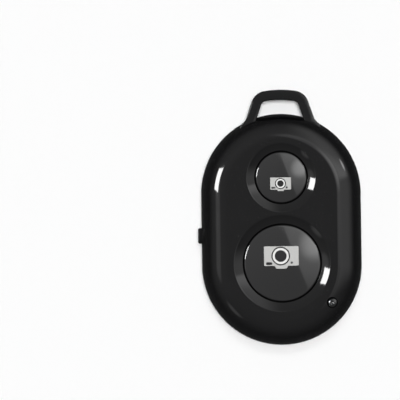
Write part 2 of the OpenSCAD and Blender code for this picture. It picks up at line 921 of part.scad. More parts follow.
front_shell();
back_shell();
battery_door();
small_button();
large_button();
power_knob();
light_pipe();
circuit_board();
antenna_trace();
bluetooth_chip();
crystal();
chip_capacitors();
chip_resistors();
led_package();
small_switch_base();
small_switch_terminals();
small_switch_dome();
small_switch_plunger();
small_switch_cover();
large_switch_base();
large_switch_terminals();
large_switch_dome();
large_switch_plunger();
large_switch_cover();
slide_switch_base();
slide_switch_terminals();
slide_switch_wiper();
slide_switch_lever();
slide_switch_cover();
battery_can();
battery_gasket();
battery_cap();
battery_core();
positive_contact();
negative_contact();
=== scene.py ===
"""Looks of a pebble-shaped camera shutter remote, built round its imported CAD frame.

Lengths are in millimetres in the shapes and become metres when a mesh is made. The remote lies
on its back: +Z out of the front face, +Y towards the lanyard loop. Heights along Y in the shapes
are counted from the middle of the pebble, and every mesh is moved to where the frame has it.
"""

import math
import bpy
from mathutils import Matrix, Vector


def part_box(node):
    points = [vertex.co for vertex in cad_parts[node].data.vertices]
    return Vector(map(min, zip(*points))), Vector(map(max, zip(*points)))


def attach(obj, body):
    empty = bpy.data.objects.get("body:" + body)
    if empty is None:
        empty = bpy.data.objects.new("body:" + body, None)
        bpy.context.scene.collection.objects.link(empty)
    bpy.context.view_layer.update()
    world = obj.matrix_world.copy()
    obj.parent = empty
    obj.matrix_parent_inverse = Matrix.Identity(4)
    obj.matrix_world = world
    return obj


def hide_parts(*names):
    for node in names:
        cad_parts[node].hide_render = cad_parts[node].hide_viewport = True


bl_info = {
    "name": "Camera Shutter Remote",
    "version": (1, 0, 0),
    "blender": (4, 5, 0),
    "location": "View3D > Sidebar > Remote",
    "description": "Builds the visible pieces, finishes and studio of a camera shutter remote",
    "category": "Object",
}

import bmesh
import bpy
import numpy as np
from mathutils import Matrix, Vector

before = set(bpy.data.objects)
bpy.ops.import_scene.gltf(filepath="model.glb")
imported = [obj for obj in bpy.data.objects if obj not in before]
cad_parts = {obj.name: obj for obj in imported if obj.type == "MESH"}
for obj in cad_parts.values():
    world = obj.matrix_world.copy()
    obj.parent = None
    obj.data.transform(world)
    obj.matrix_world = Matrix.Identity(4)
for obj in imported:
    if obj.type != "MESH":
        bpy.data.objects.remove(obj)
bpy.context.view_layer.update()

MM = 0.001


def linear(hex_colour):
    """Linear red, green and blue of an sRGB colour written as #rrggbb."""
    parts = [int(hex_colour[i : i + 2], 16) / 255 for i in (1, 3, 5)]
    return tuple(c / 12.92 if c <= 0.04045 else ((c + 0.055) / 1.055) ** 2.4 for c in parts)


def box_mm(node):
    """Lowest and highest corner of a CAD node, in millimetres."""
    low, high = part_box(node)
    return np.array(low) / MM, np.array(high) / MM


# Sizes read from the frame
front_low, front_high = box_mm("front_shell")
knob_low, knob_high = box_mm("power_knob")
light_low, light_high = box_mm("light_pipe")
back_high, door_high, small_high, large_high = (
    box_mm(node)[1] for node in ("back_shell", "battery_door", "small_button", "large_button"))
BODY_R = back_high[0]
MID_Y = (front_low[1] + back_high[1]) / 2
END_Y = (back_high[1] - front_low[1]) / 2 - BODY_R
TOP_Z = front_high[2]
# The crowns of the buttons end just under the flat front
FACE_Z = TOP_Z - 0.05
PARTING_Z = front_low[2]
LOOP_R = BODY_R + front_high[1] - back_high[1]
LIGHT_XY = ((light_low + light_high) / 2)[:2] - (0, MID_Y)
LIGHT_R = (light_high[0] - light_low[0]) / 2
CELL_Y, KNOB_Y, SMALL_Y, LARGE_Y = (
    sum(box_mm(node))[1] / 2 - MID_Y
    for node in ("battery_can", "power_knob", "small_button", "large_button"))

# Half the knob's length along Y, and how far the door's flange stands past its opening
KNOB_HALF = 1.55
FLANGE_REACH = 0.65
# What keeps two surfaces from lying in the same place
CLEAR = 0.03
# Each button's name, the height of its axis along Y, and its box's high corner
BUTTONS = (("small", SMALL_Y, small_high), ("large", LARGE_Y, large_high))


class RemoteSizes(bpy.types.PropertyGroup):
    """Sizes of the remote that the frame doesn't give as a box."""

    shoulder: bpy.props.FloatProperty(
        name="Shoulder", description="Radius of the front shoulder",
        default=5.2 * MM, unit="LENGTH")
    back_edge: bpy.props.FloatProperty(
        name="Back edge", description="Radius of the back edge",
        default=3 * MM, unit="LENGTH")
    wall: bpy.props.FloatProperty(
        name="Wall", description="Wall of the shells and the door",
        default=1.2 * MM, unit="LENGTH")
    plate: bpy.props.FloatProperty(
        name="Plate", description="Thickness of the flat front",
        default=1.5 * MM, unit="LENGTH")
    small_dish: bpy.props.FloatProperty(
        name="Small dish", description="Width of the dished ring round the small button",
        default=1.65 * MM, unit="LENGTH")
    large_dish: bpy.props.FloatProperty(
        name="Large dish", description="Width of the dished ring round the large button",
        default=1.85 * MM, unit="LENGTH")
    dish_inner: bpy.props.FloatProperty(
        name="Dish inner slope", description="Slope of a dished ring at its bore",
        default=math.radians(20), subtype="ANGLE")
    dish_outer: bpy.props.FloatProperty(
        name="Dish outer slope", description="Slope of a dished ring under its rolled edge",
        default=math.radians(29), subtype="ANGLE")
    dish_edge: bpy.props.FloatProperty(
        name="Dish edge", description="Radius where the front rolls into a dished ring",
        default=0.5 * MM, unit="LENGTH")
    flange: bpy.props.FloatProperty(
        name="Flange", description="How far a button's flange reaches past its bore",
        default=0.6 * MM, unit="LENGTH")
    button_gap: bpy.props.FloatProperty(
        name="Button gap", description="Gap round the buttons",
        default=0.25 * MM, unit="LENGTH")
    small_crown: bpy.props.FloatProperty(
        name="Small crown", description="Rise of the small button's face from its rim",
        default=0.4 * MM, unit="LENGTH")
    large_crown: bpy.props.FloatProperty(
        name="Large crown", description="Rise of the large button's face from its rim",
        default=0.5 * MM, unit="LENGTH")
    seam_edge: bpy.props.FloatProperty(
        name="Seam edge", description="Radius of the moulded edges along the seams",
        default=0.12 * MM, unit="LENGTH")
    door_gap: bpy.props.FloatProperty(
        name="Door gap", description="Gap round the battery door",
        default=0.15 * MM, unit="LENGTH")
    loop_width: bpy.props.FloatProperty(
        name="Loop width", description="Width across the tops of the loop's legs",
        default=12 * MM, unit="LENGTH")
    band: bpy.props.FloatProperty(
        name="Band", description="Width of the loop's band",
        default=2 * MM, unit="LENGTH")
    loop_lean: bpy.props.FloatProperty(
        name="Loop lean", description="How far the loop's legs lean in",
        default=math.radians(19), subtype="ANGLE")
    loop_corner: bpy.props.FloatProperty(
        name="Loop corner", description="Outer radius of the loop's corners",
        default=3.2 * MM, unit="LENGTH")
    loop_fillet: bpy.props.FloatProperty(
        name="Loop fillet", description="Radius that blends the legs into the rim",
        default=2.5 * MM, unit="LENGTH")


class RemoteColours(bpy.types.PropertyGroup):
    """Colours of the visible finishes."""

    shell: bpy.props.FloatVectorProperty(
        name="Front shell", description="Piano-black plastic of the front shell",
        subtype="COLOR", default=linear("#0d0d0e"))
    back: bpy.props.FloatVectorProperty(
        name="Back shell", description="Blue-black plastic of the back shell",
        subtype="COLOR", default=linear("#0b0c12"))
    door: bpy.props.FloatVectorProperty(
        name="Battery door", description="Black plastic of the battery door",
        subtype="COLOR", default=linear("#161616"))
    button: bpy.props.FloatVectorProperty(
        name="Buttons", description="Charcoal plastic of the buttons",
        subtype="COLOR", default=linear("#101011"))
    ink: bpy.props.FloatVectorProperty(
        name="Print", description="Grey ink of the pictograms",
        subtype="COLOR", default=linear("#c9c9c7"))
    floor: bpy.props.FloatVectorProperty(
        name="Floor", description="Pale studio floor",
        subtype="COLOR", default=linear("#fafafa"))


def millimetres(name):
    """A length of the scene's size group, in millimetres."""
    return getattr(bpy.context.scene.remote_sizes, name) / MM


def new_object(name, data):
    """An object in the scene that holds a mesh, a lamp or a camera."""
    obj = bpy.data.objects.new(name, data)
    bpy.context.scene.collection.objects.link(obj)
    return obj


# Meshes from grids of points


def quads(rows, columns, close_rows, start):
    """Corner numbers of the quads of a grid. Its rows are loops, and may also form one."""
    i, j = np.meshgrid(np.arange(rows - (not close_rows)), np.arange(columns), indexing="ij")
    i_next, j_next = (i + 1) % rows, (j + 1) % columns
    corners = [
        i * columns + j, i_next * columns + j, i_next * columns + j_next, i * columns + j_next]
    return start + np.stack(corners, -1).reshape(-1, 4)


def grid_object(name, *grids, close_rows=False):
    """Object of one or more grids of points in millimetres, merged where they meet."""
    points, faces, start = [], [], 0
    for grid in grids:
        points.append(grid.reshape(-1, 3) + (0, MID_Y, 0))
        faces.append(quads(*grid.shape[:2], close_rows, start))
        start += len(points[-1])
    mesh = bpy.data.meshes.new(name)
    mesh.from_pydata(
        (np.concatenate(points) * MM).tolist(), [], np.concatenate(faces).tolist())
    merge(mesh, outwards=True)
    return new_object(name, mesh)


def merge(mesh, outwards=False):
    """Merge what coincides and drop what has no area. May point the faces outwards too."""
    shape, distance = bmesh.new(), 0.0005 * MM
    shape.from_mesh(mesh)
    bmesh.ops.remove_doubles(shape, verts=shape.verts, dist=distance)
    bmesh.ops.dissolve_degenerate(shape, edges=shape.edges, dist=distance)
    if outwards:
        bmesh.ops.recalc_face_normals(shape, faces=shape.faces)
    shape.to_mesh(mesh)
    shape.free()


def combine(target, tool, operation):
    """Cut a tool out of the target, add it or keep the common part, and drop the tool. It is
    an object or a closed grid."""
    if not isinstance(tool, bpy.types.Object):
        tool = grid_object("tool", tool)
    modifier = target.modifiers.new("combine", "BOOLEAN")
    modifier.operation = operation
    modifier.object = tool
    modifier.solver = "EXACT"
    depsgraph = bpy.context.evaluated_depsgraph_get()
    mesh = bpy.data.meshes.new_from_object(target.evaluated_get(depsgraph))
    target.modifiers.clear()
    target.data = mesh
    merge(mesh)
    bpy.data.objects.remove(tool)
    if not len(mesh.polygons):
        raise RuntimeError(f"{target.name} has no faces left after {operation}")
    return target


def finish_piece(obj, body, slot, material, *nodes):
    """Smooth all but the creases, give the finish, and tie the piece to the frame."""
    crease = math.radians(30)
    obj.data.materials.clear()
    obj.data.materials.append(material)
    obj.data.shade_smooth()
    obj.data.set_sharp_from_angle(angle=crease)
    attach(obj, body)
    if nodes:
        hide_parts(*nodes)


# Shapes shared by the pieces


def arc(centre, radius, start, end, count):
    """Points of an arc between two angles in degrees: the centre plus the radius turned."""
    turn = np.radians(np.linspace(start, end, count))
    return np.stack([centre[0] + radius * np.cos(turn), centre[1] + radius * np.sin(turn)], -1)


def outline(*runs):
    """One list of points from arcs and single points."""
    return np.concatenate([np.atleast_2d(run) for run in runs]).astype(float)


def unit(vectors):
    """Rows of vectors, each brought to a length of 1."""
    return vectors / np.linalg.norm(vectors, axis=1)[:, None]


def raised(flat, height):
    """Points in a plane with their height as a third number."""
    return np.concatenate([flat, np.broadcast_to(height, flat.shape[:-1])[..., None]], -1)


def carry(profile, turn, x, y):
    """Grid of a profile of (distance from the path, height) carried along a path: each point is
    the path's point plus the distance along the turn angle there."""
    reach, height = profile[:, 0, None], profile[:, 1, None]
    return np.stack([x + reach * np.cos(turn), y + reach * np.sin(turn), height + 0 * turn], -1)


def revolve(profile, centre, count):
    """Grid of a profile of (radius, height) turned about a vertical axis."""
    return carry(profile, np.linspace(0, 2 * math.pi, count, endpoint=False), *centre)


# Points along half a straight side of the pebble, and along each round end
PER_SIDE, PER_END = 24, 160


def sweep(profile, knot=0.0):
    """Grid of a profile carried round the pebble's spine: up the right side, round the upper
    end, down the left side and round the lower end. Each side has a point at the knot."""
    up = np.concatenate([
        np.linspace(-END_Y, knot, PER_SIDE, endpoint=False),
        np.linspace(knot, END_Y, PER_SIDE, endpoint=False)])
    down = np.concatenate([[END_Y], up[:0:-1]])
    half = np.linspace(0, math.pi, PER_END, endpoint=False)
    turn = np.concatenate([0 * up, half, 0 * down + math.pi, half + math.pi])
    rise = np.concatenate([up, 0 * half + END_Y, down, 0 * half - END_Y])
    return carry(profile, turn, 0, rise)


def prism(points, low, high):
    """Closed grid of an upright prism over a loop of points, its ends drawn in to a middle."""
    middle = np.repeat(points.mean(0)[None], len(points), 0)
    return np.stack([
        raised(middle, low), raised(points, low), raised(points, high), raised(middle, high)])


def rounded_block(low, high, radius, steps=6):
    """Grid of a box with rounded edges: a ball whose eight parts are moved out to the box's
    corners, with long quads where the parts separate."""
    low, high = np.array(low, float), np.array(high, float)
    quarter = np.linspace(0, math.pi / 2, steps)
    turn = np.concatenate([quarter + i * math.pi / 2 for i in range(4)])[None]
    lift = np.concatenate([quarter - math.pi / 2, quarter])[:, None]
    side_x, side_y = np.repeat([1, -1, -1, 1], steps)[None], np.repeat([1, 1, -1, -1], steps)[None]
    side_z = np.repeat([-1, 1], steps)[:, None]
    middle, half = (low + high) / 2, (high - low) / 2 - radius
    grid = np.stack([
        middle[0] + side_x * half[0] + radius * np.cos(lift) * np.cos(turn),
        middle[1] + side_y * half[1] + radius * np.cos(lift) * np.sin(turn),
        middle[2] + side_z * half[2] + radius * np.sin(lift) + 0 * turn], -1)
    return cap_ends(grid)


def cap_ends(grid):
    """The grid of a tube with each end drawn in to its middle."""
    ends = [np.repeat(grid[i].mean(0)[None, None], grid.shape[1], 1) for i in (0, -1)]
    return np.concatenate([ends[0], grid, ends[1]])


# Front shell


def dish_profile(bore, width):
    """Half section of a button's well, from the flat in to the bore and back out below: a
    convex roll down to the outer slope, a shallow arc on to the inner slope, a small edge
    round and the bore's wall. The arc's radius is what its width leaves between the slopes."""
    group = bpy.context.scene.remote_sizes
    roll, edge = millimetres("dish_edge"), 0.06
    steep, slight = group.dish_outer, group.dish_inner
    outer, inner, low = bore + width, bore + edge, TOP_Z - millimetres("plate")
    hollow = (outer - inner - roll * math.sin(steep)) / (math.sin(steep) - math.sin(slight))
    centre = (inner - hollow * math.sin(slight),
              TOP_Z - roll + (roll + hollow) * math.cos(steep))
    floor = centre[1] - hollow * math.cos(slight)
    steep, slight = math.degrees(steep), math.degrees(slight)
    return outline(
        arc((outer, TOP_Z - roll), roll, 90, 90 + steep, 9),
        arc(centre, hollow, steep - 90, slight - 90, 17)[1:],
        arc((inner, floor - edge), edge, 90, 180, 5)[1:],
        (bore, low), (outer, low))


def well_grid(centre_y, bore, width, border):
    """Grid of one button's part of the front plate: rays run from the border points on the
    plate's edge to the dish, then follow its profile, and come back out under the plate."""
    profile = dish_profile(bore, width)
    middle = np.array([0, centre_y])
    rows = middle + profile[:, 0, None, None] * unit(border - middle)
    flat = [border + (rows[0] - border) * share for share in (0, 0.35, 0.7)]
    points = np.concatenate([flat, rows, border[None]])
    height = np.concatenate([[TOP_Z] * 3, profile[:, 1], profile[-1:, 1]])
    return raised(points, height[:, None])


def shoulder_inside(margin):
    """Half section of the front's inside at a margin from its wall and plate: an arc round the
    shoulder's centre, from the side up to the plate's underside, and on to the flat's edge."""
    shoulder, inset = millimetres("shoulder"), millimetres("wall") + margin
    start, low = BODY_R - shoulder, TOP_Z - millimetres("plate") - margin
    centre = (start, TOP_Z - shoulder)
    end = math.degrees(math.asin((low - centre[1]) / (shoulder - inset)))
    return outline(arc(centre, shoulder - inset, 0, end, 13), (start, low))


def front_rim_profile():
    """Half section of the front shell's rim: the shoulder's arc, the seam's edge, and the
    inner wall back up to the plate's underside."""
    shoulder, edge = millimetres("shoulder"), millimetres("seam_edge")
    return outline(
        arc((BODY_R - shoulder, TOP_Z - shoulder), shoulder, 90, 0, 49),
        arc((BODY_R - edge, PARTING_Z + edge), edge, 0, -90, 5),
        (BODY_R - millimetres("wall"), PARTING_Z), shoulder_inside(0))


def loop_grid():
    """Grid of the lanyard loop: a rounded section carried up a leaning leg, round a corner,
    over the top and down the other side. The leg's outer edge flares out along a circle that
    touches the rim, so the band is wider at its feet."""
    band, lean = millimetres("band"), bpy.context.scene.remote_sizes.loop_lean
    corner, fillet = millimetres("loop_corner"), millimetres("loop_fillet")
    hole_mid = BODY_R + (LOOP_R - BODY_R - band) / 2
    side = millimetres("loop_width") / 2 * math.cos(lean) + hole_mid * math.sin(lean)
    corner_rise = math.sqrt((LOOP_R - corner) ** 2 - (side - corner) ** 2)
    corner_turn = math.atan2(corner_rise, side - corner)
    web_rise = math.sqrt((BODY_R + fillet) ** 2 - (side + fillet) ** 2)
    sunk = 1.1
    foot = BODY_R - sunk
    touch = BODY_R / (BODY_R + fillet)
    flare = (side + fillet) * touch
    # Inner and outer edge of the right half, in the frame that leans with the leg
    share = np.linspace(0, 1, 40)
    y_in = math.sqrt(foot ** 2 - (side - band) ** 2) * (1 - share) + corner_rise * share
    y_out = math.sqrt(foot ** 2 - flare ** 2) * (1 - share) + corner_rise * share
    drop = np.clip(web_rise - y_out, 0, web_rise * (1 - touch))
    leg_in = np.stack([0 * share + side - band, y_in], -1)
    leg_out = np.stack([side + fillet - np.sqrt(fillet ** 2 - drop ** 2), y_out], -1)
    turned = math.degrees(corner_turn)
    bend, top = (0, turned, 21), (turned, 90 - math.degrees(lean), 9)
    centre = (side - corner, corner_rise)
    inner = outline(
        leg_in, arc(centre, corner - band, *bend)[1:], arc((0, 0), LOOP_R - band, *top)[1:])
    outer = outline(leg_out, arc(centre, corner, *bend)[1:], arc((0, 0), LOOP_R, *top)[1:])
    tilt = np.array([[math.cos(lean), math.sin(lean)], [-math.sin(lean), math.cos(lean)]])
    inner, outer = inner @ tilt, outer @ tilt
    inner = np.concatenate([inner, inner[-2::-1] * (-1, 1)])
    outer = np.concatenate([outer, outer[-2::-1] * (-1, 1)])
    # Section: which edge each point belongs to, and its step across and up from there
    edge, low, high = 0.25, PARTING_Z + 0.4, PARTING_Z + 3.2
    turn = np.radians(np.concatenate([np.linspace(a, a + 90, 7) for a in (0, 90, 180, 270)]))
    on_outer = np.repeat([1, 0, 0, 1], 7)
    step = np.where(on_outer, -edge, edge) + edge * np.cos(turn)
    height = np.repeat([high - edge, high - edge, low + edge, low + edge], 7) + edge * np.sin(turn)
    flat = (inner[:, None] * (1 - on_outer)[:, None] + outer[:, None] * on_outer[:, None]
            + unit(outer - inner)[:, None] * step[:, None])
    return cap_ends(raised(flat + (0, END_Y), height))


def front_shell_object():
    """The front shell: rim sweep, two wells that meet on a line between the buttons, the loop,
    the knob's slot and the light's recess."""
    (small_bore, small_dish), (large_bore, large_dish) = (
        (high[0] - millimetres("flange"), millimetres(f"{size}_dish")) for size, _, high in BUTTONS)
    knot = (SMALL_Y - small_bore - small_dish + LARGE_Y + large_bore + large_dish) / 2
    rim = sweep(front_rim_profile(), knot)
    border = rim[0, :, :2]
    # Places of the two knots in the border, where the wells' common line meets it
    right, left = PER_SIDE, 3 * PER_SIDE + PER_END
    widest = math.atan(border[0, 0] / (SMALL_Y - knot))
    line_x = (SMALL_Y - knot) * np.tan(np.linspace(-widest, widest, 81)[1:-1])
    line = np.stack([line_x, 0 * line_x + knot], -1)
    upper = np.concatenate([border[right : left + 1], line])
    lower = np.concatenate([border[left:], border[: right + 1], line[::-1]])
    shell = grid_object(
        "glossy_front_shell", rim,
        well_grid(SMALL_Y, small_bore, small_dish, upper),
        well_grid(LARGE_Y, large_bore, large_dish, lower))
    combine(shell, loop_grid(), "UNION")
    travel, gap, depth = 1.5, 0.1, 2.2
    slot = rounded_block(
        (-BODY_R - 1, KNOB_Y - KNOB_HALF - travel - gap, knob_low[2] - gap),
        (-BODY_R + depth, KNOB_Y + KNOB_HALF + gap, knob_high[2] + gap), 0.2)
    combine(shell, slot, "DIFFERENCE")
    # The light's hole widens into a recess near the skin
    hole, wide, low, step = LIGHT_R + 0.05, LIGHT_R + 0.25, 7.5, light_high[2] - 0.5
    recess = outline(
        (0, low), (hole, low), (hole, step), (wide, step), (wide, TOP_Z + 1), (0, TOP_Z + 1))
    return combine(shell, revolve(recess, LIGHT_XY, 96), "DIFFERENCE")


def inner_copy(name, node, inside):
    """What a CAD node has within a closed grid: a merged copy of its mesh, cut to the grid."""
    copy = new_object(name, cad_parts[node].data.copy())
    merge(copy.data, outwards=True)
    return combine(copy, inside, "INTERSECT")


def guides_object():
    """The guide rings, posts, pins and light boss inside the front shell: the part of the CAD
    copy within the shell's wall and under its plate."""
    low, arch = PARTING_Z - 4, shoulder_inside(CLEAR)
    inside = outline(
        (0, low), (BODY_R - (millimetres("wall") + CLEAR), low), arch, (0, arch[-1, 1]))
    return inner_copy("button_guides", "front_shell", sweep(inside))


# Back shell and door


def back_profile(inset, top):
    """Half section of the back wall, from the spine out along the back, up the side, and back
    in along the inside; with an inset it is the solid inside."""
    radius, wall, edge = millimetres("back_edge"), millimetres("wall"), millimetres("seam_edge")
    centre = (BODY_R - radius, radius)
    outer = [(0, inset), arc(centre, radius - inset, -90, 0, 21)]
    if inset:
        return outline(*outer, (BODY_R - inset, top), (0, top))
    return outline(
        *outer, arc((BODY_R - edge, top - edge), edge, 0, 90, 5), (BODY_R - wall, top),
        arc(centre, radius - wall, 0, -90, 13), (0, wall))


def tongue(margin):
    """Outline of the door's opening grown by a margin: a half circle over two straight sides."""
    radius, low = door_high[0] - FLANGE_REACH + margin, -2 * BODY_R
    return outline(arc((0, CELL_Y), radius, 0, 180, 129), (-radius, low), (radius, low))


def back_shell_object():
    """The back shell: the swept wall, less the door's tongue and the rebate for its flange."""
    rebate_reach, rebate_low, rebate_top = 0.8, 0.65, 1.25
    shell = grid_object("glossy_back_shell", sweep(back_profile(0, PARTING_Z)))
    combine(shell, prism(tongue(0), -1, PARTING_Z + 1), "DIFFERENCE")
    return combine(shell, prism(tongue(rebate_reach), rebate_low, rebate_top), "DIFFERENCE")


def bay_object():
    """The web, bay wall and lip inside the back shell: the CAD copy, inside the wall only."""
    inside = back_profile(millimetres("wall") + CLEAR, PARTING_Z + 2.5)
    return inner_copy("battery_bay", "back_shell", sweep(inside))


def door_object():
    """The battery door: the tongue of the swept wall, with a flange along its edges."""
    gap, wall, flange_low = millimetres("door_gap"), millimetres("wall"), 0.7
    door = grid_object("satin_battery_door", sweep(back_profile(0, door_high[2])))
    combine(door, prism(tongue(-gap), -1, PARTING_Z + 1), "INTERSECT")
    flange = grid_object("flange", prism(tongue(FLANGE_REACH), flange_low, wall - CLEAR))
    combine(flange, prism(tongue(-gap - wall), 0, 2), "DIFFERENCE")
    combine(flange, sweep(back_profile(0.02, PARTING_Z)), "INTERSECT")
    return combine(door, flange, "UNION")


# Buttons, prints, knob and light


def ball_height(radius, ball):
    """Height of a button's crown at a distance from its axis: a ball through the crown's top."""
    return FACE_Z - ball + np.sqrt(ball ** 2 - radius ** 2)


def crown_ball(crown, high):
    """Radius of a button's face and of the ball that gives it its crown."""
    reach = high[0] - millimetres("flange") - millimetres("button_gap")
    return reach, (reach ** 2 + crown ** 2) / (2 * crown)


def button_object(name, centre_y, high, crown):
    """A button: a crowned face with a rounded rim, its skirt, flange and post, all turned."""
    edge, skirt, post, post_low, flange, hang = 0.35, 0.8, 1.3, 7.8, 0.6, 0.65
    reach, ball = crown_ball(crown, high)
    rim = FACE_Z - ball + math.sqrt((ball - edge) ** 2 - (reach - edge) ** 2)
    start = math.degrees(math.atan2(rim - FACE_Z + ball, reach - edge))
    low, roof = TOP_Z - millimetres("plate") - hang, TOP_Z - crown - 1
    radius = np.linspace(0, (reach - edge) * ball / (ball - edge), 40, endpoint=False)
    face = np.stack([radius, ball_height(radius, ball)], -1)
    profile = outline(
        face, arc((reach - edge, rim), edge, start, 0, 8),
        (reach, low + flange), (high[0], low + flange), (high[0], low), (reach - skirt, low),
        (reach - skirt, roof), (post, roof), (post, post_low), (0, post_low))
    return grid_object(name, revolve(profile, (0, centre_y), 192))


def rounded_loop(corners, radius, count):
    """Evenly spaced points along a polygon whose corners are quadratic curves: each corner plus
    its two tangents weighted by the squares of the share along the curve."""
    corners = np.array(corners, float)
    before, after = (unit(np.roll(corners, shift, 0) - corners) for shift in (1, -1))
    share = np.linspace(0, 1, 9)[None, :, None]
    curve = corners[:, None] + radius * (
        before[:, None] * (1 - share) ** 2 + after[:, None] * share ** 2)
    points = curve.reshape(-1, 2)
    points = np.concatenate([points, points[:1]])
    along = np.concatenate([[0], np.cumsum(np.linalg.norm(np.diff(points, axis=0), axis=1))])
    at = np.linspace(0, along[-1], count, endpoint=False)
    return np.stack([np.interp(at, along, points[:, i]) for i in (0, 1)], -1)


def print_grid(inner, outer, centre_y, ball, lift=0.03):
    """Grid of a thin layer of ink between two loops of points, draped on a button's crown:
    both its faces follow the ball, the upper one a little higher."""
    share = np.linspace(0, 1, 13)[:, None, None]
    flat = inner * (1 - share) + outer * share
    flat = np.concatenate([flat[:1], flat, flat[-1:]])
    height = ball_height(np.hypot(flat[..., 0], flat[..., 1]), ball)
    height += np.where(np.isin(np.arange(len(flat)), (0, len(flat) - 1)), -0.02, lift)[:, None]
    return raised(flat + (0, centre_y), height)


def ring(centre, radius):
    """Points of a circle."""
    return arc(centre, radius, 0, 360, 241)[:-1]


def along_rays(loop, centre, radius):
    """Points of a circle on the rays from its centre to the points of a loop."""
    return centre + radius * unit(loop - centre)


def pictogram(name, centre_y, ball, low_left, high_right, hump, lens, rings, slot, dot):
    """A camera sign of plain shapes: a rounded body with a hump, rings for the lens, and a
    bar and a dot. Returns the body, the lens ring and the dark marks."""
    (x0, y0), (x1, y1) = low_left, high_right
    body = rounded_loop(
        [(x1, y1), (x0, y1), (x0, y0), (hump[0], y0), (hump[0] + hump[3], y0 - hump[2]),
         (hump[1] - hump[3], y0 - hump[2]), (hump[1], y0), (x1, y0)], hump[2] * 0.35, 320)
    pale = grid_object(
        name, print_grid(along_rays(body, lens, rings[0]), body, centre_y, ball), close_rows=True)
    rim = grid_object(
        name + "_lens", print_grid(ring(lens, rings[2]), ring(lens, rings[1]), centre_y, ball),
        close_rows=True)
    marks = []
    for middle, half in ((slot[:2], slot[2:]), (dot[:2], dot[2:])):
        corners = np.array([(1, 1), (-1, 1), (-1, -1), (1, -1)]) * half + middle
        loop = rounded_loop(corners, min(half) * 0.9, 96)
        marks.append(print_grid(along_rays(loop, middle, 0.02), loop, centre_y, ball, 0.045))
    return pale, rim, grid_object(name + "_marks", *marks, close_rows=True)


def knob_object():
    """The power knob: a rounded block with two wings inside the wall."""
    low, high = knob_low - (0, MID_Y, 0), knob_high - (0, MID_Y, 0)
    block = rounded_block((low[0], KNOB_Y - KNOB_HALF, low[2]),
                          (high[0], KNOB_Y + KNOB_HALF, high[2]), 0.3, 8)
    wings = rounded_block((high[0] - 0.4, *low[1:]), high, 0.05)
    return grid_object("power_slider", block, wings)


def light_object():
    """The light pipe: a clear pin whose end spreads the light. Its face is a hyperbola turned
    about the axis: a rounded ridge with a conical dimple inside it and a cone down to the rim."""
    top, ridge, slope, soft = light_high[2] - 0.02, 0.4, 0.5, 0.05
    radius = np.linspace(LIGHT_R, 0, 48)
    face = np.stack([radius, top - slope * (np.hypot(radius - ridge, soft) - soft)], -1)
    profile = outline((0, light_low[2]), (LIGHT_R, light_low[2]), face)
    return grid_object("light_lens", revolve(profile, LIGHT_XY, 64))


# Finishes


def add(tree, kind, values=None):
    """Add a node with values for its sockets and properties. Another node's output is linked."""
    node = tree.nodes.new(kind)
    for key, value in (values or {}).items():
        if isinstance(value, bpy.types.NodeSocket):
            tree.links.new(value, node.inputs[key])
        elif isinstance(key, int) or key in node.inputs:
            node.inputs[key].default_value = value
        else:
            setattr(node, key, value)
    return node


def rgba(colour):
    """A colour with full cover."""
    return (*colour[:3], 1)


def new_material(name):
    """An empty material, its node tree and the object's own coordinates."""
    material = bpy.data.materials.new(name)
    material.use_nodes = True
    tree = material.node_tree
    tree.nodes.clear()
    return material, tree, add(tree, "ShaderNodeTexCoord").outputs["Object"]


def output(material, shader):
    """The material, its tree closed with its last shader."""
    add(material.node_tree, "ShaderNodeOutputMaterial", {"Surface": shader.outputs[0]})
    return material


def maths(tree, operation, *terms):
    """Result of an operation on numbers and outputs."""
    values = {"operation": operation, **dict(enumerate(terms))}
    return add(tree, "ShaderNodeMath", values).outputs[0]


def noise(tree, place, size, detail, **values):
    """Noise about 0.5, whose largest marks are about as wide as a size in millimetres."""
    values.update({"Vector": place, "Scale": 1 / (size * MM), "Detail": detail})
    return add(tree, "ShaderNodeTexNoise", values).outputs["Fac"]


def shades(tree, share, colour, dark, light=1.0):
    """A colour that goes from a darker to a lighter shade with a share."""
    low, high = (rgba([c * shade for c in colour]) for shade in (dark, light))
    values = {"data_type": "RGBA", 0: share, 6: low, 7: high}
    return add(tree, "ShaderNodeMix", values).outputs[2]


def ramp(tree, value, low, high, start=0.0, end=1.0, kind="LINEAR"):
    """From low to high as a value goes from its start to its end."""
    return add(tree, "ShaderNodeMapRange", {
        "interpolation_type": kind, "Value": value, "From Min": start, "From Max": end,
        "To Min": low, "To Max": high}).outputs[0]


def relief(tree, height, rise, strength=1.0, **under):
    """Normal of a bump of a rise in millimetres, on top of another one if that is given."""
    return add(tree, "ShaderNodeBump", {
        "Strength": strength, "Distance": rise * MM, "Height": height, **under}).outputs["Normal"]


def principled(tree, colour, normal, roughness, values):
    """The main shader, with a colour and a normal that vary over the piece."""
    return add(tree, "ShaderNodeBsdfPrincipled", {
        "Base Color": colour, "Normal": normal, "Roughness": roughness, **values})


def inside_circles(tree, place, circles):
    """1 within any of some circles, given by centre and radius in mm, seen from above."""
    flat = add(tree, "ShaderNodeVectorMath", {
        "operation": "MULTIPLY", 0: place, 1: (1, 1, 0)}).outputs[0]
    inside = None
    for x, y, radius in circles:
        reach = add(tree, "ShaderNodeVectorMath", {
            "operation": "DISTANCE", 0: flat, 1: (x * MM, (y + MID_Y) * MM, 0)})
        near = maths(tree, "LESS_THAN", reach.outputs["Value"], radius * MM)
        inside = maths(tree, "MAXIMUM", inside, near) if inside else near
    return inside


def gloss_with_painted_shade(tree, shader, matt):
    """Mixes a painted shade into a gloss where a mask is 1: a darker, dull black with hardly any
    reflection, which stands in for the shade in gaps and recesses.
    """
    painted_shade = add(tree, "ShaderNodeBsdfPrincipled", {
        "Base Color": rgba(linear("#060606")), "Roughness": 0.7, "Specular IOR Level": 0.1})
    return add(tree, "ShaderNodeMixShader", {
        0: matt, 1: shader.outputs[0], 2: painted_shade.outputs[0]})


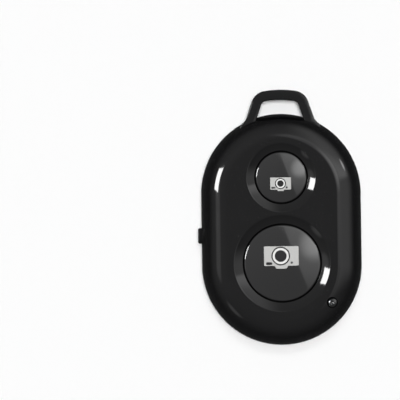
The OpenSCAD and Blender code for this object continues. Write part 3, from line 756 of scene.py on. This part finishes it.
def moulded(name, colour, roughness, grain, grain_height, spread=0.02,
            wave_height=0.0, shaded_bores=(), specular=0.5):
    """Moulded plastic: its own colour with faint flow marks, a roughness that drifts, and the
    grain of the mould as bump. The tool's polish decides how fine and how high the grain is,
    both in millimetres. The walls of bores get a painted shade: a darker, dull black."""
    material, tree, place = new_material(name)
    # Flow marks some 9 mm long, as the melt leaves them, up to 12% lighter and darker
    tone = shades(tree, noise(tree, place, 9, 3.0), colour, 0.88, 1.12)
    # Handling leaves patches about 2 mm across that are a little duller
    wipe = noise(tree, place, 2, 6.0, Roughness=0.65)
    rough = ramp(tree, wipe, roughness, roughness + spread, 0.3, 0.7)
    bump = relief(tree, noise(tree, place, grain, 2.0), grain_height)
    if wave_height:
        # Sink marks: the wide, shallow waves that bend a reflection on a glossy moulding
        bump = relief(tree, noise(tree, place, 7, 0.0), wave_height, Normal=bump)
    shader = principled(tree, tone, bump, rough, {"IOR": 1.53, "Specular IOR Level": specular})
    # Painted shade: the walls of the bores turn a darker, dull black
    if shaded_bores:
        shader = gloss_with_painted_shade(tree, shader, inside_circles(tree, place, shaded_bores))
    return output(material, shader)


def spark_eroded():
    """The inside of the shells: the tool isn't polished there, and leaves a dull black grain."""
    name = "abs_spark_eroded"
    return bpy.data.materials.get(name) or moulded(name, linear("#191919"), 0.5, 0.12, 0.008)


def lacquered_gloss(name, colour, faces):
    """Charcoal ABS caps under a clear hard coat: the softer sheen of the plastic shows through
    a mirror-like skin, so a light is seen twice, once crisp and once blurred. Outside the
    faces, the skirts get a painted shade: a darker, dull black."""
    material, tree, place = new_material(name)
    tone = shades(tree, noise(tree, place, 4, 3.0), colour, 0.9, 1.1)
    rough = ramp(tree, noise(tree, place, 1.5, 5.0), 0.05, 0.1)
    bump = relief(tree, noise(tree, place, 0.15, 2.0), 0.0002, 0.5)
    shader = principled(tree, tone, bump, rough, {
        "IOR": 1.6, "Coat Weight": 1.0, "Coat Roughness": 0.015, "Coat IOR": 1.6})
    # Painted shade: outside the faces, the skirts turn a darker, dull black
    skirt = maths(tree, "SUBTRACT", 1.0, inside_circles(tree, place, faces))
    return output(material, gloss_with_painted_shade(tree, shader, skirt))


def pad_print(name, colour):
    """Pad-printed ink: an even matt film that thins out in specks where the pad lifted."""
    material, tree, place = new_material(name)
    speck = noise(tree, place, 0.18, 4.0)
    tone, bump = shades(tree, speck, colour, 0.86), relief(tree, speck, 0.004, 0.4)
    return output(material, principled(tree, tone, bump, 0.55, {"IOR": 1.5}))


def metal(name, colour, roughness, lay, stretch=(1, 1, 1)):
    """Metal with the marks of its making: fine noise of a size in millimetres, stretched where
    it was rolled or drawn, in the roughness and as bump, and a faint tarnish in its colour."""
    material, tree, place = new_material(name)
    along = add(tree, "ShaderNodeMapping", {"Vector": place, "Scale": stretch})
    marks = noise(tree, along.outputs[0], lay, 5.0)
    tone = shades(tree, noise(tree, place, 3, 3.0), colour, 0.85)
    rough = ramp(tree, marks, roughness * 0.8, roughness * 1.25)
    bump = relief(tree, marks, 0.002, 0.5)
    return output(material, principled(tree, tone, bump, rough, {"Metallic": 1.0}))


def clear_acrylic(name):
    """Moulded clear acrylic: smoky and glassy, with the faint haze of a sprue-cut pin under the
    hard bright skin that the polished tool gives it."""
    material, tree, place = new_material(name)
    return output(material, add(tree, "ShaderNodeBsdfPrincipled", {
        "Base Color": rgba(linear("#1f2123")), "IOR": 1.49, "Transmission Weight": 0.6,
        "Roughness": ramp(tree, noise(tree, place, 0.5, 3.0), 0.02, 0.06),
        "Coat Weight": 1.0, "Coat Roughness": 0.02}))


def of_switches(part, *switches):
    """The nodes of one part of some switches."""
    return [f"{switch}_switch_{part}" for switch in switches]


# Finishes of the CAD nodes that stay in the scene: the function, the nodes, the material's
# name and colour, and the function's other values
INNER_FINISHES = (
    # Glass-fibre board under green solder mask: the weave shows faintly through
    (moulded, ["circuit_board"], "solder_mask_fr4", "#1c4a2c", 0.32, 0.6, 0.004),
    # A flash of gold keeps the copper bright and warm
    (metal, ["antenna_trace"], "gold_flashed_copper", "#c9a45a", 0.3, 0.2),
    # Transfer-moulded epoxy is dull black with a fine sparkle of silica
    (moulded, ["bluetooth_chip"], "epoxy_transfer_moulded", "#1a1a1c", 0.55, 0.08, 0.004),
    (metal, ["crystal"], "nickel_silver_drawn_can", "#c8c6be", 0.25, 0.4),
    # Fired ceramic has an eggshell sheen, and a glaze makes it shine
    (moulded, ["chip_capacitors"], "fired_ceramic_tan", "#9a7b5a", 0.5, 0.1, 0.003),
    (moulded, ["chip_resistors"], "glazed_ceramic_black", "#18181a", 0.3, 0.1, 0.002),
    (moulded, ["led_package"], "white_reflector_resin", "#e6e4dc", 0.45, 0.1, 0.002),
    # Glass fibres roughen the skin of the nylon
    (moulded, of_switches("base", "small", "large", "slide"),
     "glass_filled_nylon", "#1c1c1e", 0.6, 0.15, 0.006),
    (metal, of_switches("terminals", "small", "large", "slide"),
     "tinned_brass_stamped", "#c4c4c0", 0.35, 0.1),
    (metal, of_switches("dome", "small", "large"),
     "stainless_spring_pressed", "#c9cbcd", 0.2, 0.3),
    (moulded, of_switches("plunger", "small", "large"), "acetal_black", "#111112", 0.4, 0.1, 0.002),
    # Rolled sheet keeps fine lines across
    (metal, of_switches("cover", "small", "large", "slide"),
     "stainless_stamped", "#c6c8ca", 0.3, 0.5, (1, 12, 1)),
    (metal, of_switches("wiper", "slide"), "phosphor_bronze", "#b98a5a", 0.3, 0.3),
    (moulded, of_switches("lever", "slide"), "nylon_lever", "#161617", 0.5, 0.12, 0.003),
    # The can is deep drawn and nickel plated: a satin sheen with rings of the draw
    (metal, ["battery_can"], "nickel_plated_steel_drawn", "#c6c7c5", 0.28, 0.8),
    (metal, ["battery_cap"], "nickel_plated_cap", "#cfcfcc", 0.22, 0.6),
    # Milky, waxy plastic, and dull black powder inside
    (moulded, ["battery_gasket"], "polypropylene_gasket", "#c9c7bd", 0.5, 0.2, 0.003),
    (moulded, ["battery_core"], "pressed_powder", "#2a2a2b", 0.8, 0.1, 0.01),
    (metal, ["positive_contact", "negative_contact"],
     "gilt_spring_brass", "#cba85c", 0.28, 0.3, (8, 1, 1)),
)


# Operators


class REMOTE_OT_front_shell(bpy.types.Operator):
    """Build the piano-black front shell with its dished rings and lanyard loop"""

    bl_idname = "remote.front_shell"
    bl_label = "Front shell"

    def execute(self, context):
        # High-gloss ABS from a mirror-polished tool: near black, with crisp, slightly wavy
        # reflections. The walls of the bores and of the light's recess get a painted shade: they
        # stay dull and turn dark.
        shaded_bores = [(0, y, high[0] - millimetres("flange") + 0.02) for _, y, high in BUTTONS]
        gloss = moulded("abs_piano_black_moulded", context.scene.remote_colours.shell,
                        0.05, 0.9, 0.0002, spread=0.03, wave_height=0.004,
                        shaded_bores=[*shaded_bores, (*LIGHT_XY, LIGHT_R + 0.27)])
        finish_piece(front_shell_object(), "housing", "front_shell", gloss, "front_shell")
        finish_piece(guides_object(), "housing", "front_shell", spark_eroded(), "front_shell")
        return {"FINISHED"}


class REMOTE_OT_back_shell(bpy.types.Operator):
    """Build the blue-black back shell and the battery bay inside it"""

    bl_idname = "remote.back_shell"
    bl_label = "Back shell"

    def execute(self, context):
        gloss = moulded("abs_blue_black_moulded", context.scene.remote_colours.back,
                        0.07, 0.9, 0.0002, spread=0.04, wave_height=0.004)
        finish_piece(back_shell_object(), "housing", "back_shell", gloss, "back_shell")
        finish_piece(bay_object(), "housing", "back_shell", spark_eroded(), "back_shell")
        return {"FINISHED"}


class REMOTE_OT_battery_door(bpy.types.Operator):
    """Build the satin battery door that slides off the lower end"""

    bl_idname = "remote.battery_door"
    bl_label = "Battery door"

    def execute(self, context):
        # Fine spark-eroded grain on the tool gives the door a soft, grey-black sheen
        satin = moulded("abs_fine_grain_moulded", context.scene.remote_colours.door,
                        0.3, 0.1, 0.002, spread=0.08)
        finish_piece(door_object(), "door", "battery_door", satin, "battery_door")
        return {"FINISHED"}


class REMOTE_OT_buttons(bpy.types.Operator):
    """Build the two crowned buttons and the pictograms printed on them"""

    bl_idname = "remote.buttons"
    bl_label = "Buttons"

    def execute(self, context):
        colours = context.scene.remote_colours
        inks = [pad_print("pad_printed_grey_ink", colours.ink),
                pad_print("pad_printed_white_ink", linear("#efefed")),
                pad_print("pad_printed_black_ink", linear("#0e0e0f"))]
        gloss = lacquered_gloss("abs_charcoal_lacquered", colours.button, [
            (0, y, crown_ball(1, high)[0] - 0.02) for _, y, high in BUTTONS])
        signs = {
            "small": dict(low_left=(-2.2, -2.45), high_right=(1.92, -0.02),
                          hump=(-0.8, 0.55, 0.27, 0.1), lens=(-0.17, -1.24),
                          rings=(1.1, 0.92, 0.64), slot=(-1.58, -2.06, 0.4, 0.17),
                          dot=(1.06, -2.02, 0.2, 0.2)),
            "large": dict(low_left=(-3.64, -0.52), high_right=(3.25, 3.36),
                          hump=(-1.5, 1.1, 0.58, 0.25), lens=(-0.32, 1.42),
                          rings=(1.86, 1.61, 1.18), slot=(-2.65, -0.07, 0.62, 0.27),
                          dot=(1.86, 0.08, 0.22, 0.22)),
        }
        for size, centre_y, high in BUTTONS:
            crown = millimetres(f"{size}_crown")
            cap = button_object(f"{size}_button_cap", centre_y, high, crown)
            finish_piece(cap, f"{size}_key", "button", gloss, f"{size}_button")
            ball = crown_ball(crown, high)[1]
            layers = pictogram(f"{size}_pictogram", centre_y, ball, **signs[size])
            for layer, ink in zip(layers, inks):
                finish_piece(layer, f"{size}_key", "button", ink)
        return {"FINISHED"}


class REMOTE_OT_knob(bpy.types.Operator):
    """Build the power knob on the left edge"""

    bl_idname = "remote.knob"
    bl_label = "Power knob"

    def execute(self, context):
        # Satin acetal: slides without squeaking and reflects a little less sharply than the shell
        matt = moulded("acetal_satin_black", linear("#070708"), 0.22, 0.15, 0.001, spread=0.06,
                       specular=0.2)
        finish_piece(knob_object(), "slider", "power_knob", matt, "power_knob")
        return {"FINISHED"}


class REMOTE_OT_light(bpy.types.Operator):
    """Build the clear light pipe over the status light"""

    bl_idname = "remote.light"
    bl_label = "Status light"

    def execute(self, context):
        acrylic = clear_acrylic("acrylic_clear_moulded")
        finish_piece(light_object(), "housing", "light_pipe", acrylic, "light_pipe")
        return {"FINISHED"}


class REMOTE_OT_inner_parts(bpy.types.Operator):
    """Give the pieces inside, which keep their CAD shapes, their own finishes"""

    bl_idname = "remote.inner_parts"
    bl_label = "Inner parts"

    def execute(self, context):
        for make, nodes, name, colour, *values in INNER_FINISHES:
            finish = make(name, linear(colour), *values)
            for node in nodes:
                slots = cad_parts[node].data.materials
                slots.clear()
                slots.append(finish)
        return {"FINISHED"}


def heading(azimuth, tilt=90.0):
    """Direction at an azimuth from +X and a tilt from straight up, both in degrees."""
    turn, lean = math.radians(azimuth), math.radians(tilt)
    out = math.sin(lean)
    return Vector((out * math.cos(turn), out * math.sin(turn), math.cos(lean)))


def area_panel(name, azimuth, tilt, distance, size, radiance):
    """A panel aimed at the remote, which only reflections show. Its first size runs level and
    its second up and down, and a radiance of 1 is as bright as white paper."""
    lamp = bpy.data.lights.new(name, "AREA")
    lamp.shape = "RECTANGLE"
    lamp.size, lamp.size_y = (s * MM for s in size)
    lamp.energy = radiance * math.pi * lamp.size * lamp.size_y
    obj = new_object(name, lamp)
    aim = Vector((0, MID_Y, 8))
    away = heading(azimuth, tilt)
    level = heading(azimuth + 90)
    turned = Matrix((level, away.cross(level), away)).transposed().to_4x4()
    obj.matrix_world = Matrix.Translation((away * distance + aim) * MM) @ turned
    obj.visible_diffuse = obj.visible_camera = False


def overhead_lamp(name, azimuth, tilt, width, irradiance):
    """An even lamp far above, as wide as its angle in degrees. It lights the floor and leaves
    the gloss alone; an irradiance of pi makes white paper white."""
    lamp = bpy.data.lights.new(name, "SUN")
    lamp.angle = math.radians(width)
    lamp.energy = irradiance
    obj = new_object(name, lamp)
    obj.rotation_euler = heading(azimuth, tilt).to_track_quat("Z", "Y").to_euler()
    obj.visible_glossy = False


def sky_steps(tree, sky, steps):
    """Product of smooth steps: each goes from 0 to 1 as the dot of the sky's direction with a
    heading goes from its first value to its second."""
    product = None
    for towards, start, end in steps:
        reach = add(tree, "ShaderNodeVectorMath", {
            "operation": "DOT_PRODUCT", 0: sky, 1: towards}).outputs["Value"]
        step = ramp(tree, reach, 0.0, 1.0, start, end, "SMOOTHSTEP")
        product = maths(tree, "MULTIPLY", product, step) if product else step
    return product


def studio_sky(tree, parts):
    """Sum of soft-edged parts of the sky, each a product of steps times its brightness."""
    sky = add(tree, "ShaderNodeTexCoord").outputs["Generated"]
    total = 0.0
    for brightness, steps in parts:
        total = maths(tree, "MULTIPLY_ADD", sky_steps(tree, sky, steps), brightness, total)
    return total


def spot(azimuth, tilt, radius):
    """The one step of a round soft part of the sky: full in its middle, none at its radius."""
    return [(heading(azimuth, tilt), math.cos(math.radians(radius)), 1.0)]


UP = Vector((0, 0, 1))
SKY_PARTS = [
    # A little light from all round, less from low down
    (0.07, [(UP, -2.0, -1.0)]),
    (0.2, [(UP, -0.1, 1.0)]),
    (0.15, [(heading(125), -0.3, 0.6), (UP, 0.0, 0.5)]),
    # The large soft panel to the right: near the zenith it has a straight inner edge, and
    # further down it is brighter
    (0.45, [(UP, 0.88, 0.94), (heading(21), 0.108, 0.12), (heading(90), -0.35, 0.02),
            (heading(0), -0.08, 0.08)]),
    (0.6, [(UP, 0.97, 0.88), (heading(22), 0.08, 0.1), (heading(90), -0.35, 0.02),
           (heading(0), 0.0, 0.46), (UP, 0.0, 0.6)]),
    # The brighter half of it begins sharply along one azimuth, brightest along that edge
    (0.3, [(UP, 0.99, 0.93), (heading(22), 0.08, 0.1), (heading(105), -0.04, 0.02),
           (heading(105), 0.6, 0.1), (UP, 0.1, 0.5)]),
    (0.75, [(UP, 0.98, 0.85), (heading(22), 0.08, 0.1), (heading(104), -0.04, 0.02),
            (heading(104), 0.3, 0.04), (UP, 0.2, 0.6)]),
    # Its two hottest spots, one high up and one low down
    (1.2, [*spot(22, 17, 9), (heading(98), -0.09, 0.03)]),
    (4.5, spot(24, 64, 6)),
    # The narrow strip to the left, and a faint one by the lower end
    (0.45, [(heading(180, 43), 0.975, 0.995)]),
    (0.5, spot(224, 56, 10)),
]


def paper_floor(colour):
    """A wide sheet of matt paper under the remote, which its gloss doesn't mirror."""
    reach = 3000 * MM
    corners = [(-reach, -reach, 0), (reach, -reach, 0), (reach, reach, 0), (-reach, reach, 0)]
    mesh = bpy.data.meshes.new("studio_floor")
    mesh.from_pydata(corners, [], [(0, 1, 2, 3)])
    floor = new_object("studio_floor", mesh)
    floor.visible_glossy = False
    material, tree, place = new_material("matt_paper_floor")
    tone = shades(tree, noise(tree, place, 1.5, 3.0), colour, 0.99)
    mesh.materials.append(output(material, add(tree, "ShaderNodeBsdfDiffuse", {"Color": tone})))
    return floor


def studio_world():
    """The world: gloss and glass show the studio's sky, everything else gets even light, and
    the camera sees white."""
    even_light, white = 0.06, 1.0
    world = bpy.data.worlds.new("studio_world")
    world.use_nodes = True
    tree = world.node_tree
    tree.nodes.clear()
    ray = add(tree, "ShaderNodeLightPath").outputs
    shown = maths(tree, "MAXIMUM", ray["Is Glossy Ray"], ray["Is Transmission Ray"])
    seen = add(tree, "ShaderNodeMix", {0: shown, 2: even_light, 3: studio_sky(tree, SKY_PARTS)})
    strength = add(tree, "ShaderNodeMix", {0: ray["Is Camera Ray"], 2: seen.outputs[0], 3: white})
    sky = add(tree, "ShaderNodeBackground", {
        "Color": (1, 1, 1, 1), "Strength": strength.outputs[0]})
    add(tree, "ShaderNodeOutputWorld", {"Surface": sky.outputs[0]})
    return world


def photo_camera():
    """The camera straight above, over the point that the middle of the photograph shows."""
    over, roll, distance, frame_width = (-16.25, 3.71, 5.8), -0.8, 800, 80.24
    camera = bpy.data.cameras.new("photo_camera")
    camera.sensor_width = 36
    camera.lens = camera.sensor_width * distance / frame_width
    camera.clip_start, camera.clip_end = 0.01, 20
    eye = new_object("photo_camera", camera)
    eye.location = (Vector(over) + distance * UP) * MM
    eye.rotation_euler = (0, 0, math.radians(roll))
    return eye


class REMOTE_OT_studio(bpy.types.Operator):
    """Set up the pale floor, the soft lights and the camera straight above the remote"""

    bl_idname = "remote.studio"
    bl_label = "Studio"

    def execute(self, context):
        scene = context.scene
        floor = paper_floor(scene.remote_colours.floor)
        scene.world = studio_world()
        overhead_lamp("key_lamp", 90, 1, 8, 2.64)
        overhead_lamp("rear_lamp", 90, 17, 14, 0.43)
        area_panel("left_panel", 164.5, 51, 350, (100, 108), 22)
        scene.camera = photo_camera()
        scene.view_settings.view_transform = "Standard"
        return {"FINISHED"}


class REMOTE_PT_panel(bpy.types.Panel):
    """Buttons that build the remote piece by piece"""

    bl_idname = "REMOTE_PT_panel"
    bl_label = "Camera shutter remote"
    bl_space_type = "VIEW_3D"
    bl_region_type = "UI"
    bl_category = "Remote"

    def draw(self, context):
        for operator in OPERATORS:
            self.layout.operator(operator.bl_idname)
        for group in (context.scene.remote_sizes, context.scene.remote_colours):
            for name in group.__annotations__:
                self.layout.prop(group, name)


OPERATORS = (
    REMOTE_OT_front_shell, REMOTE_OT_back_shell, REMOTE_OT_battery_door, REMOTE_OT_buttons,
    REMOTE_OT_knob, REMOTE_OT_light, REMOTE_OT_inner_parts, REMOTE_OT_studio)
CLASSES = (RemoteSizes, RemoteColours, *OPERATORS, REMOTE_PT_panel)


def register():
    for cls in CLASSES:
        bpy.utils.register_class(cls)
    bpy.types.Scene.remote_sizes = bpy.props.PointerProperty(type=RemoteSizes)
    bpy.types.Scene.remote_colours = bpy.props.PointerProperty(type=RemoteColours)


def unregister():
    del bpy.types.Scene.remote_colours
    del bpy.types.Scene.remote_sizes
    for cls in reversed(CLASSES):
        bpy.utils.unregister_class(cls)


def main():
    """Build everything in order."""
    register()
    bpy.ops.remote.front_shell()
    bpy.ops.remote.back_shell()
    bpy.ops.remote.battery_door()
    bpy.ops.remote.buttons()
    bpy.ops.remote.knob()
    bpy.ops.remote.light()
    bpy.ops.remote.inner_parts()
    bpy.ops.remote.studio()


if __name__ == "__main__":
    main()
